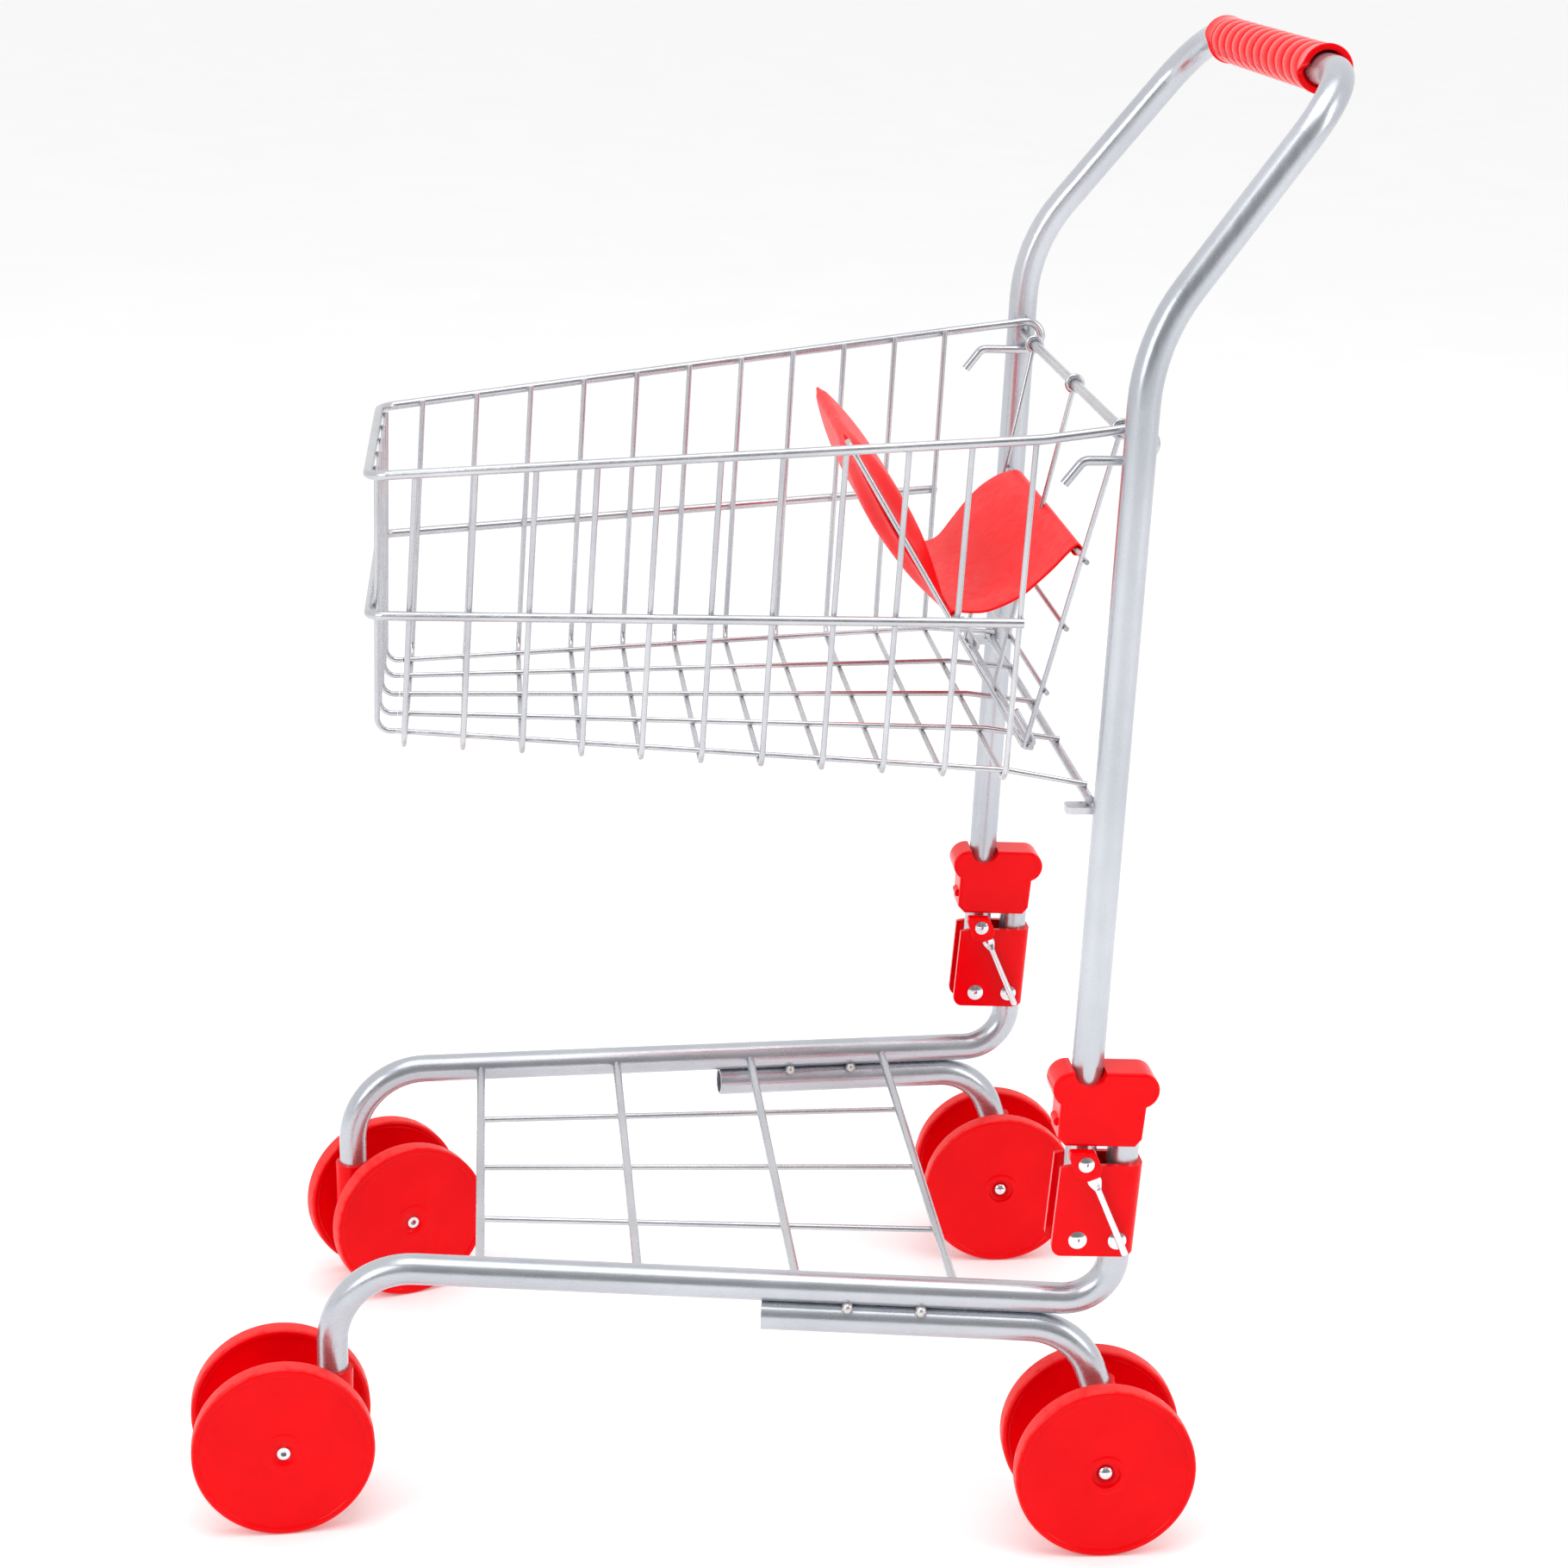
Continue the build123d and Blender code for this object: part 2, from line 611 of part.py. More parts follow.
def make_basket_floor(name):
    stringer_z = FLOOR_Z + 2 * WIRE_R - 0.1
    last_y = HOOP_FRONT_Y + (HOOP_COUNT - 1) * HOOP_PITCH
    with BuildPart() as floor:
        for index in range(HOOP_COUNT):
            y = HOOP_FRONT_Y + index * HOOP_PITCH
            reach = floor_x(y) - HOOP_BEND - 2 - TOUCH_GAP
            add_bar([(-reach, y, FLOOR_Z), (reach, y, FLOOR_Z)], (), WIRE_R)
        for front_x, rear_x in zip(STRINGER_FRONT_X, STRINGER_REAR_X):
            front = (front_x, FRONT_WIRE_FOOT_Y + 7 + 0.3, stringer_z)
            rear_z = REAR_BAR_Z + REAR_BAR_R + WIRE_R - WELD_BITE
            knee_y = last_y + 2
            share = (knee_y - front[1]) / (REAR_BAR_Y - front[1])
            knee = (front_x + share * (rear_x - front_x), knee_y, stringer_z)
            add_bar([front, knee, (rear_x, REAR_BAR_Y + 1, rear_z)], (12.0,), WIRE_R)
        rear_bar = [(-REAR_BAR_X, REAR_BAR_Y, REAR_BAR_Z), (REAR_BAR_X, REAR_BAR_Y, REAR_BAR_Z)]
        add_bar(rear_bar, (), REAR_BAR_R)
    save(floor, name)


# Gate and doll seat


def gate_slope():
    """Rearward rise of the gate's wires per millimetre of height; they aim at the cross bar."""
    foot_y = GATE_ROD_Y - GATE_ROD_R - GATE_WIRE_R + 0.15
    return (CROSS_Y - foot_y) / (CROSS_Z - GATE_ROD_Z)


def gate_y(z):
    return CROSS_Y - gate_slope() * (CROSS_Z - z)


def gate_x(z):
    return GATE_TOP_X - (GATE_TOP_X - GATE_FOOT_X) * (CROSS_Z - z) / (CROSS_Z - GATE_ROD_Z)


def make_gate(name):
    eye_r = CROSS_R + GATE_WIRE_R + RUNNING_FIT + 0.02
    top_z = CROSS_Z - eye_r
    foot_z = GATE_ROD_Z - 0.8
    behind = 2 * GATE_WIRE_R - 0.1
    with BuildPart() as gate:
        for spread in (-1, 0, 1):
            foot = (spread * gate_x(foot_z), gate_y(foot_z), foot_z)
            top = (spread * gate_x(top_z), gate_y(top_z), top_z)
            add_bar([foot, top], (), GATE_WIRE_R)
            with Locations(Plane(origin=(top[0], CROSS_Y, CROSS_Z), z_dir=(1, 0, 0))):
                Torus(eye_r, GATE_WIRE_R)
        for z in GATE_BARS_Z:
            reach = gate_x(z) + 2.0
            add_bar([(-reach, gate_y(z) + behind, z), (reach, gate_y(z) + behind, z)], (), GATE_WIRE_R)
        reach = GATE_FOOT_X + 2.5
        add_bar([(-reach, GATE_ROD_Y, GATE_ROD_Z), (reach, GATE_ROD_Y, GATE_ROD_Z)], (), GATE_ROD_R)
    save(gate, name)


SEAT_RISE = Vector(0, SEAT_TOP_Y - GATE_ROD_Y, SEAT_TOP_Z - GATE_ROD_Z)
SEAT_UP = SEAT_RISE.normalized()
SEAT_REARWARD = SEAT_UP.cross(Vector(1, 0, 0))


def seat_point(x, height, behind=0.0):
    """A point of the seat back: height up its slope from the hinge rod, behind it by an offset."""
    return tuple(Vector(x, GATE_ROD_Y, GATE_ROD_Z) + SEAT_UP * height + SEAT_REARWARD * behind)


def make_seat_back_frame(name):
    """One bent wire with hooked feet round the gate's bottom rod, and a cross wire for the seat."""
    clear = GATE_ROD_R + GATE_WIRE_R + RUNNING_FIT
    half = [
        seat_point(SEAT_FOOT_X, SEAT_HOOK_RETURN, clear),
        seat_point(SEAT_FOOT_X, -SEAT_HOOK_LENGTH, clear),
        seat_point(SEAT_FOOT_X, -SEAT_HOOK_LENGTH, -clear),
        seat_point(SEAT_FOOT_X, 16.0, -clear),
        seat_point(SEAT_TOP_X, SEAT_RISE.length, -clear),
    ]
    bends = [clear - 0.05, clear - 0.05, 40.0, 7.0]
    reach = SEAT_FOOT_X - (SEAT_FOOT_X - SEAT_TOP_X) * SEAT_BAR_HEIGHT / SEAT_RISE.length + 1.5
    bar_offset = -clear + 2 * GATE_WIRE_R - 0.1
    with BuildPart() as frame:
        add_bar(half + mirrored(half), bends + bends[::-1], GATE_WIRE_R)
        cross = [seat_point(x, SEAT_BAR_HEIGHT, bar_offset) for x in (-reach, reach)]
        add_bar(cross, (), GATE_WIRE_R)
    save(frame, name)


def make_backrest(name):
    """Pouch over the seat wire: a front and a rear wall that join round the wire and at the foot."""
    wire = GATE_ROD_R + GATE_WIRE_R + RUNNING_FIT
    low = SEAT_BAR_HEIGHT + PANEL_FOOT_GAP
    high = SEAT_RISE.length
    middle = (low + high) / 2
    tip = GATE_WIRE_R + PANEL_ROOM + PANEL_WALL
    with BuildPart() as panel:
        with BuildSketch(Plane(origin=seat_point(0, 0), x_dir=tuple(SEAT_UP), z_dir=(1, 0, 0))):
            with BuildLine():
                ThreePointArc((low, wire + PANEL_FOOT), (middle, wire + PANEL_BELLY), (high, wire + tip))
                ThreePointArc((high, wire + tip), (high + tip, wire), (high, wire - tip))
                ThreePointArc((high, wire - tip), (middle, wire - PANEL_BELLY), (low, wire - PANEL_FOOT))
                Line((low, wire - PANEL_FOOT), (low, wire + PANEL_FOOT))
            make_face()
            offset(amount=-PANEL_WALL, mode=Mode.SUBTRACT)
        extrude(amount=PANEL_HALF, both=True)
    save(panel, name)


def make_seat_plate(name):
    """Moulded saddle plate with a barrel round the seat wire's cross bar."""
    clear = GATE_ROD_R + GATE_WIRE_R + RUNNING_FIT
    _, bar_y, bar_z = seat_point(0, SEAT_BAR_HEIGHT, -clear + 2 * GATE_WIRE_R - 0.1)
    profile = ((1.4, 0.2), (12, 3.0), (24, 13.0), (35.5, 25.6))
    lower = [(bar_y + back, bar_z + up) for back, up in profile]
    upper = [(y - 0.9, z + SEAT_THICK) for y, z in lower]
    with BuildPart() as plate:
        with BuildSketch(Plane.YZ):
            with BuildLine():
                Spline(*lower)
                Line(lower[-1], upper[-1])
                Spline(*reversed(upper))
                Line(upper[0], lower[0])
            make_face()
            with Locations((bar_y, bar_z)):
                Circle(GATE_WIRE_R + 1.6)
        extrude(amount=SEAT_REAR_HALF, both=True)
        rear_y = upper[-1][0] + 1.5
        with BuildSketch() as plan:
            half = [(SEAT_FRONT_HALF, bar_y - 6), (SEAT_REAR_HALF, rear_y)]
            Polygon(*half, *[(-x, y) for x, y in reversed(half)], align=None)
            fillet(plan.vertices().group_by(Axis.Y)[-1], radius=8.0)
        extrude(amount=500, mode=Mode.INTERSECT)
        barrel_bore = [(-90, bar_y, bar_z), (90, bar_y, bar_z)]
        add_bar(barrel_bore, (), GATE_WIRE_R + RUNNING_FIT, mode=Mode.SUBTRACT)
    save(plate, name)


# Wheels and their hubs


def disc_profile(outer_recess):
    """Half section of one wheel disc, x along the axle from the pair's middle and y outward."""
    bore = AXLE_R + FIT / 2
    hub_face = DISC_OUTER + 0.5
    with BuildSketch(Plane.XZ) as profile:
        with BuildLine():
            if outer_recess:
                inner_end = [(DISC_OUTER - 1.6, bore), (DISC_OUTER - 1.6, 5.5), (hub_face, 5.5)]
            else:
                inner_end = [(hub_face, bore)]
            Polyline(
                (DISC_INNER, bore), *inner_end, (DISC_OUTER - 0.7, 32.0), (DISC_OUTER, 32.4),
                (DISC_OUTER, WHEEL_R - 0.7), (DISC_OUTER - 0.7, WHEEL_R), (DISC_INNER + 0.8, WHEEL_R),
                (DISC_INNER, WHEEL_R - 0.8), close=True,
            )
        make_face()
    return profile.sketch


def wheel_pair_plane(centre, turn):
    """The frame of a wheel pair: x along its axle and z up."""
    return Plane(origin=centre, x_dir=(cos(radians(turn)), sin(radians(turn)), 0), z_dir=(0, 0, 1))


def make_disc(name, plane, outward, outer_recess):
    with BuildPart() as disc:
        revolve(profiles=disc_profile(outer_recess), axis=Axis.X)
    placed = disc.part if outward > 0 else disc.part.rotate(Axis.Z, 180)
    with BuildPart() as wheel:
        add(plane.location * placed)
    save(wheel, name)


def make_axle(name, plane, domed):
    with BuildPart() as axle:
        if domed:
            add_rivet((0, 0, 0), -DISC_OUTER + 1.5, DISC_OUTER - 1.5, AXLE_R, 3.2, 1.6)
        else:
            reach = DISC_OUTER + 0.6
            add_bar([(-reach, 0, 0), (reach, 0, 0)], (), AXLE_R)
            for outward in (-1, 1):
                start, end = outward * (reach - 1.6), outward * (reach + 1)
                with BuildSketch(Plane.YZ.offset(min(start, end))):
                    RegularPolygon(1.3, 6)
                extrude(amount=2.6, mode=Mode.SUBTRACT)
    with BuildPart() as placed:
        add(plane.location * axle.part)
    save(placed, name)


def caster_centre(side_name):
    turn = radians(CASTER_TURN[side_name])
    x = SIDES[side_name] * LEG_X - CASTER_TRAIL * sin(turn)
    return (x, LEG_Y + CASTER_TRAIL * cos(turn), WHEEL_R)


def make_caster_hub(name, side_name):
    """Hub between the discs, with a socket for the leg ahead of the axle."""
    with BuildPart() as hub:
        with BuildSketch(Plane.YZ.offset(-HUB_HALF)):
            Circle(HUB_R)
        extrude(amount=2 * HUB_HALF)
        with BuildSketch(Plane.XY.offset(-17)):
            with Locations((0, -CASTER_TRAIL)):
                Circle(SOCKET_R)
        extrude(amount=SOCKET_TOP - WHEEL_R + 17)
        with BuildSketch(Plane.YZ.offset(-4.0)):
            Polygon((-CASTER_TRAIL, -16), (2, -8.5), (8.5, 4), (-2, 12), (-CASTER_TRAIL, 22), align=None)
        extrude(amount=8.0)
        with BuildSketch(Plane.XY.offset(LEG_END_Z - WHEEL_R - 0.3)):
            with Locations((0, -CASTER_TRAIL)):
                Circle(TUBE_R + RUNNING_FIT)
        extrude(amount=60, mode=Mode.SUBTRACT)
        with BuildSketch(Plane.YZ.offset(-30)):
            Circle(AXLE_R + RUNNING_FIT)
        extrude(amount=60, mode=Mode.SUBTRACT)
    with BuildPart() as placed:
        add(wheel_pair_plane(caster_centre(side_name), CASTER_TURN[side_name]).location * hub.part)
    save(placed, name)


def make_rear_hub(name, side):
    corner, end = rear_leg_route(side)[1:]
    leg = Vector(end) - Vector(corner)
    mouth = Vector(corner) + leg * ((corner[2] - 63.0) / (corner[2] - end[2]))
    foot = Vector(corner) + leg * ((corner[2] - 40.0) / (corner[2] - end[2]))
    with BuildPart() as hub:
        with BuildSketch(Plane.YZ.offset(side * REAR_WHEEL_X - HUB_HALF)):
            with Locations((REAR_WHEEL_Y, WHEEL_R)):
                Circle(HUB_R)
        extrude(amount=2 * HUB_HALF)
        add_bar([tuple(foot), tuple(mouth)], (), SOCKET_R)
        beyond = Vector(corner) + leg * 0.2
        add_bar([end, tuple(beyond)], (), TUBE_R + FIT, mode=Mode.SUBTRACT)
        with BuildSketch(Plane.YZ.offset(side * REAR_WHEEL_X - 30)):
            with Locations((REAR_WHEEL_Y, WHEEL_R)):
                Circle(AXLE_R + RUNNING_FIT)
        extrude(amount=60, mode=Mode.SUBTRACT)
    save(hub, name)


def make_wheel_pair(label, plane, domed):
    for position, outward in (("plus_x", 1), ("minus_x", -1)):
        make_disc(f"wheel_{label}_{position}", plane, outward, domed)
    make_axle(f"axle_{label}", plane, domed)


os.makedirs("parts", exist_ok=True)
for side_name, side in SIDES.items():
    make_lower_tube(f"lower_tube_{side_name}", side)
    make_rear_leg(f"rear_leg_tube_{side_name}", side)
    make_bracket(f"hinge_bracket_{side_name}", side)
    make_sleeve(f"lock_sleeve_{side_name}", side)
    make_cam_lobe(f"cam_lobe_{side_name}", side)
    make_lever_rod(f"lever_rod_{side_name}", side)
    make_caster_hub(f"caster_hub_{side_name}", side_name)
    make_rear_hub(f"rear_hub_{side_name}", side)
    make_basket_side(f"basket_side_{side_name}", side)
    caster_plane = wheel_pair_plane(caster_centre(side_name), CASTER_TURN[side_name])
    make_wheel_pair(f"front_{side_name}", caster_plane, domed=False)
    rear_plane = wheel_pair_plane((side * REAR_WHEEL_X, REAR_WHEEL_Y, WHEEL_R), 0)
    make_wheel_pair(f"rear_{side_name}", rear_plane, domed=True)
make_weld_beads("weld_beads")
make_shelf_grid("shelf_grid")
make_hinge_rivets("pivot_rivets", 0)
make_hinge_rivets("socket_rivets", TUBE_PITCH - 0.9)
make_lever_rivets("lever_rivets")
make_handle_tube("handle_tube")
make_grip("handle_grip")
make_cross_bar("cross_bar")
make_clips("basket_clips")
make_rim("basket_rim")
make_basket_front("basket_front")
make_basket_floor("basket_floor")
make_gate("gate_frame")
make_seat_back_frame("seat_back_frame")
make_backrest("backrest")
make_seat_plate("seat_plate")
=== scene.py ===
"""Looks of a child's folding shopping trolley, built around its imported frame.

Objects are in metres, +Z up, with the front towards -Y. Outlines are in mm and are scaled by MM.
"""

import json
from math import atan2, cos, pi, radians, sin, sqrt
import bpy
from mathutils import Matrix, Vector, noise


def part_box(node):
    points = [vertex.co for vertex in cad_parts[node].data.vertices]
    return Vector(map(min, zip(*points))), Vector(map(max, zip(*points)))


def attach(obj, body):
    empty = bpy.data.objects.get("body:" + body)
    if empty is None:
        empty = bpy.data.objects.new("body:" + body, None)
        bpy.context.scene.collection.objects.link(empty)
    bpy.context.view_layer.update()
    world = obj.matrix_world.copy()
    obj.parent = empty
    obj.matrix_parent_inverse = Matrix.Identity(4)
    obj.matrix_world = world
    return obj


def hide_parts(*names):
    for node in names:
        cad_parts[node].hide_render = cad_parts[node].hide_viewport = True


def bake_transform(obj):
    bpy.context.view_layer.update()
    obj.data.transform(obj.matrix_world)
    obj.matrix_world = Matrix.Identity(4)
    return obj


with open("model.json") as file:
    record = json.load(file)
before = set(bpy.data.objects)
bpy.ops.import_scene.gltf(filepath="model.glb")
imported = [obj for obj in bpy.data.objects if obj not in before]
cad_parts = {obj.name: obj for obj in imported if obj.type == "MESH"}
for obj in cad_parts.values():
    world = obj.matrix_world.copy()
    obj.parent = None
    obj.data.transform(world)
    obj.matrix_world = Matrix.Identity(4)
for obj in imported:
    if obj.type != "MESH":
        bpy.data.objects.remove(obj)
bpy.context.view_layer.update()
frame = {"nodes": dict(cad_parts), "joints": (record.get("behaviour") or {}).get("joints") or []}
NODES = frame["nodes"]
JOINTS = {joint["name"]: joint for joint in frame["joints"]}
MM = 0.001
SIDES = ("right", "left")


# Materials: a light and a dark tone each, linear

SILVER = (0.56, 0.58, 0.62), (0.47, 0.49, 0.53)
ZINC = (0.60, 0.605, 0.63), (0.46, 0.47, 0.50)
RED = (0.88, 0.001, 0.004), (0.78, 0.0, 0.003)
CHROME_TONES = (0.80, 0.80, 0.82), (0.66, 0.67, 0.70)
WELD_TONES = (0.72, 0.71, 0.70), (0.46, 0.44, 0.43)
SCUFFED_RED, RUBBED_RED = (0.93, 0.04, 0.035), (0.88, 0.05, 0.045)
SPOT_DARKENING = 0.72
TUBE_GRAIN, WIRE_GRAIN, CHROME_GRAIN, WELD_GRAIN = 260, 500, 700, 900
RUBBED_ROUGHNESS = 0.6


def node(tree, kind, inputs=None, **settings):
    """Add a shader node with its settings and input values."""
    made = tree.nodes.new(kind)
    for key, value in settings.items():
        setattr(made, key, value)
    for key, value in (inputs or {}).items():
        made.inputs[key].default_value = value
    return made


def texture_noise(tree, coordinates, scale, detail=3.0, stretch=(1, 1, 1), distortion=0.0):
    """Noise in object space, stretched per axis; returns its value socket."""
    mapping = node(tree, "ShaderNodeMapping")
    mapping.inputs["Scale"].default_value = stretch
    tree.links.new(coordinates, mapping.inputs["Vector"])
    inputs = {"Scale": scale, "Detail": detail, "Roughness": 0.6, "Distortion": distortion}
    made = node(tree, "ShaderNodeTexNoise", inputs)
    tree.links.new(mapping.outputs["Vector"], made.inputs["Vector"])
    return made.outputs["Fac"]


def remap(tree, value, low, high, to_low, to_high):
    made = node(tree, "ShaderNodeMapRange", clamp=True)
    tree.links.new(value, made.inputs["Value"])
    for key, number in zip(("From Min", "From Max", "To Min", "To Max"), (low, high, to_low, to_high)):
        made.inputs[key].default_value = number
    return made.outputs["Result"]


def mixed_colour(tree, factor, first, second):
    """A colour between two, each a tuple or a socket."""
    made = node(tree, "ShaderNodeMix", data_type="RGBA")
    tree.links.new(factor, made.inputs["Factor"])
    for socket, colour in ((made.inputs[6], first), (made.inputs[7], second)):
        if isinstance(colour, tuple):
            socket.default_value = (*colour, 1)
        else:
            tree.links.new(colour, socket)
    return made.outputs[2]


def start_material(name, **constants):
    """A material with a Principled shader; returns it with its tree, shader and object coordinates."""
    material = bpy.data.materials.new(name)
    material.use_nodes = True
    tree = material.node_tree
    shader = tree.nodes["Principled BSDF"]
    for key, value in constants.items():
        shader.inputs[key.replace("_", " ")].default_value = value
    coordinates = node(tree, "ShaderNodeTexCoord").outputs["Object"]
    return material, tree, shader, coordinates


def add_bump(tree, shader, layers):
    """Stack bumps: each layer is a height socket, a strength and a distance in metres."""
    normal = None
    for height, strength, distance in layers:
        bump = node(tree, "ShaderNodeBump", {"Strength": strength, "Distance": distance})
        tree.links.new(height, bump.inputs["Height"])
        if normal:
            tree.links.new(normal, bump.inputs["Normal"])
        normal = bump.outputs["Normal"]
    tree.links.new(normal, shader.inputs["Normal"])


def metal_material(name, light, dark, roughness, grain, metallic=0.9, stretch=(1, 1, 1), pits=0.15):
    """Plated or lacquered steel: cloudy tone, drawn grain and dull specks."""
    material, tree, shader, at = start_material(name, Metallic=metallic)
    clouds = texture_noise(tree, at, 14, 4)
    streaks = texture_noise(tree, at, grain, 5, stretch)
    specks = texture_noise(tree, at, 900, 2)
    tone = mixed_colour(tree, remap(tree, clouds, 0.35, 0.68, 0, 1), light, dark)
    dull = tuple(SPOT_DARKENING * channel for channel in dark)
    spot_factor = remap(tree, specks, 0.70, 0.80, 0, pits)
    spotted = mixed_colour(tree, spot_factor, tone, dull)
    tree.links.new(spotted, shader.inputs["Base Color"])
    low, high = roughness
    tree.links.new(remap(tree, streaks, 0.3, 0.7, low, high), shader.inputs["Roughness"])
    add_bump(tree, shader, [(streaks, 0.10, 0.0003), (specks, 0.06, 0.0002)])
    return material


def plastic_material(name, light, dark, roughness=(0.12, 0.22), scuffs=0.2, grain=0.05):
    """Moulded gloss plastic: slight tone drift, orange peel, hairline scuffs and paler rubbed spots."""
    material, tree, shader, at = start_material(name, Coat_Weight=0.04, Coat_Roughness=0.06, IOR=1.45)
    shader.inputs["Specular IOR Level"].default_value = 0.11
    clouds = texture_noise(tree, at, 26, 3)
    peel = texture_noise(tree, at, 240, 2)
    scuff = texture_noise(tree, at, 90, 8, (1, 1, 1), 2.5)
    tone = mixed_colour(tree, remap(tree, clouds, 0.3, 0.7, 0, 1), light, dark)
    worn = mixed_colour(tree, remap(tree, scuff, 0.70, 0.82, 0, scuffs), tone, SCUFFED_RED)
    tree.links.new(worn, shader.inputs["Base Color"])
    low, high = roughness
    tree.links.new(remap(tree, scuff, 0.35, 0.75, low, high), shader.inputs["Roughness"])
    add_bump(tree, shader, [(peel, grain, 0.0002), (scuff, 0.02, 0.0001)])
    return material


def tread_material():
    """Wheel plastic: like the rest, with a rubbed, dusty running surface."""
    material = plastic_material("wheel_plastic", *RED)
    tree = material.node_tree
    shader = tree.nodes["Principled BSDF"]
    colour = shader.inputs["Base Color"].links[0].from_socket
    rough = shader.inputs["Roughness"].links[0].from_socket
    coordinates = node(tree, "ShaderNodeTexCoord").outputs["Object"]
    worn = node(tree, "ShaderNodeAttribute", attribute_name="wear")
    grit = texture_noise(tree, coordinates, 260, 4)
    amount = node(tree, "ShaderNodeMath", operation="MULTIPLY")
    tree.links.new(worn.outputs["Fac"], amount.inputs[0])
    tree.links.new(remap(tree, grit, 0.35, 0.65, 0.25, 1.0), amount.inputs[1])
    factor = amount.outputs["Value"]
    rubbed = mixed_colour(tree, factor, colour, RUBBED_RED)
    tree.links.new(rubbed, shader.inputs["Base Color"])
    made = node(tree, "ShaderNodeMix", data_type="FLOAT")
    tree.links.new(factor, made.inputs["Factor"])
    tree.links.new(rough, made.inputs[2])
    made.inputs[3].default_value = RUBBED_ROUGHNESS
    tree.links.new(made.outputs[0], shader.inputs["Roughness"])
    return material


TUBE_UPRIGHT = metal_material("tube_lacquer_upright", *SILVER, (0.22, 0.33), TUBE_GRAIN, 0.82, (1, 1, 0.12))
TUBE_RAIL = metal_material("tube_lacquer_rail", *SILVER, (0.22, 0.33), TUBE_GRAIN, 0.82, (1, 0.12, 1))
WIRE_ZINC = metal_material("wire_zinc", *ZINC, (0.20, 0.34), WIRE_GRAIN, 0.95, (1, 0.3, 0.3), 0.35)
CHROME = metal_material("rivet_chrome_finish", *CHROME_TONES, (0.06, 0.16), CHROME_GRAIN, 1.0)
WELD_METAL = metal_material("weld_metal", *WELD_TONES, (0.22, 0.45), WELD_GRAIN, 0.95, pits=0.6)
RED_PLASTIC = plastic_material("red_plastic_moulded", *RED)
SEAT_PLASTIC = plastic_material("seat_vinyl", *RED, (0.34, 0.48), 0.1, 0.16)
WHEEL_PLASTIC = tread_material()

NODE_MATERIALS = [
    (("handle_tube",), TUBE_UPRIGHT),
    (("lower_tube", "rear_leg_tube"), TUBE_RAIL),
    (("shelf_grid", "cross_bar", "basket", "gate_frame", "seat_back_frame"), WIRE_ZINC),
    (("lever_rod", "pivot_rivets", "socket_rivets", "lever_rivets", "axle"), CHROME),
    (("weld_beads",), WELD_METAL),
    (("hinge_bracket", "lock_sleeve", "cam_lobe", "caster_hub", "rear_hub", "handle_grip"), RED_PLASTIC),
    (("backrest", "seat_plate"), SEAT_PLASTIC),
    (("wheel",), WHEEL_PLASTIC),
]
for starts, material in NODE_MATERIALS:
    for name, cad_object in NODES.items():
        if name.startswith(starts):
            cad_object.data.materials.clear()
            cad_object.data.materials.append(material)


# Mesh helpers


def piece(name, points, faces, material, body, at=None, replaced=()):
    """A closed, smooth-shaded mesh in metres; it rides on the body, if one is given."""
    mesh = bpy.data.meshes.new(name)
    mesh.from_pydata([tuple(point) for point in points], [], faces)
    mesh.validate()
    mesh.update()
    made = bpy.data.objects.new(name, mesh)
    bpy.context.scene.collection.objects.link(made)
    if at:
        made.matrix_world = at
    mesh.materials.append(material)
    mesh.shade_smooth()
    if body:
        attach(made, body)
    if replaced:
        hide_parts(*replaced)
    return made


def set_wear(made, values):
    """Store a worn amount per point for the material."""
    attribute = made.data.attributes.new("wear", "FLOAT", "POINT")
    attribute.data.foreach_set("value", values)


def rounded(corners, steps=4):
    """A closed outline with its corners rounded: each corner is (x, y, radius)."""
    points = []
    for index, (x, y, radius) in enumerate(corners):
        corner = Vector((x, y))
        before = Vector(corners[index - 1][:2]) - corner
        after = Vector(corners[(index + 1) % len(corners)][:2]) - corner
        reach = min(radius, before.length * 0.45, after.length * 0.45)
        start = corner + before.normalized() * reach
        end = corner + after.normalized() * reach
        count = steps if radius else 0
        for step in range(count + 1):
            t = step / count if count else 0
            points.append(start * (1 - t) ** 2 + corner * 2 * t * (1 - t) + end * t**2 if count else corner)
    return points


def lathe(outline, segments, shape=None):
    """Points and faces of a closed outline, (along, radius) in mm, turned about X.

    shape, if given, may move each point.
    """
    points, faces = [], []
    count = len(outline)
    for turn in range(segments):
        angle = 2 * pi * turn / segments
        for along, radius in outline:
            point = Vector((along, radius * cos(angle), radius * sin(angle)))
            points.append((shape(point, angle, radius) if shape else point) * MM)
    for turn in range(segments):
        following = (turn + 1) % segments
        for index in range(count):
            beyond = (index + 1) % count
            a, b = turn * count + index, turn * count + beyond
            c, d = following * count + beyond, following * count + index
            faces.append((a, d, c, b))
    return points, faces


# Wheel discs: turned profile with soft edges, a flat rim ring, a step and a shallow cone

INNER, OUTER, RIM_R = 12.85, 21.35, 35.0
BORE_R, HUB_R, RECESS_R = 2.53, 7.4, 5.5
WORN_FROM, WORN_OVER = 34.2, 0.7
DISC_SEGMENTS = 144


